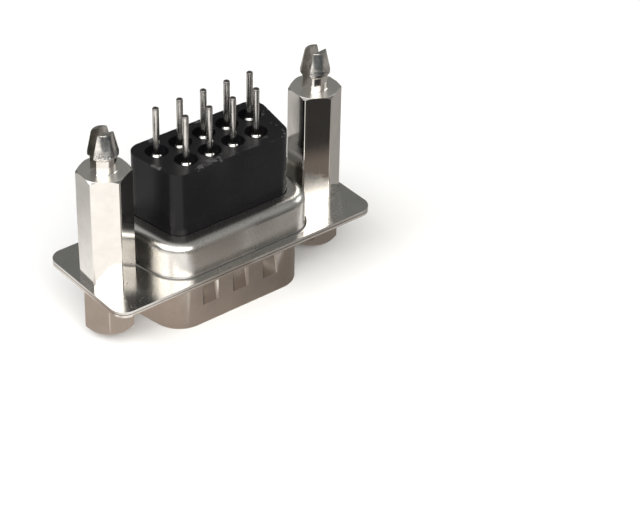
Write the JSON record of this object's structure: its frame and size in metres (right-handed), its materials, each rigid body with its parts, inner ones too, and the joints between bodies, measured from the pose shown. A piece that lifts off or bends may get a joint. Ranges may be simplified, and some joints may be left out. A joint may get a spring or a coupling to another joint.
{
  "type": "d-sub connector",
  "caption": "Male D-sub board connector, straight, with D-shaped skirt, jack nuts and standoffs with split board locks.",
  "frame": {"origin": "centre of the flange, on the plane of the skirt's rim, on which the connector stands", "axes": "+Z from the mating side towards the board, +X along the flange, the row of five contacts at +Y"},
  "size_m": [0.0308, 0.0126, 0.0228],
  "materials": {
    "shell_plating": "satin nickel plating",
    "turned_plating": "bright nickel plating",
    "contact_gold": "gold flash at the pins, tin at the tails",
    "grey_moulding": "satin moulding",
    "black_moulding": "glossy moulding"
  },
  "bodies": {
    "root": {"front_shell": "shell_plating", "rear_shell": "shell_plating", "front_insulator": "grey_moulding", "rear_insulator": "black_moulding", "contact_1": "contact_gold", "contact_2": "contact_gold", "contact_3": "contact_gold", "contact_4": "contact_gold", "contact_5": "contact_gold", "contact_6": "contact_gold", "contact_7": "contact_gold", "contact_8": "contact_gold", "contact_9": "contact_gold", "jack_nut_left": "turned_plating", "jack_nut_right": "turned_plating", "standoff_left": "turned_plating", "standoff_right": "turned_plating"}
  },
  "joints": []
}
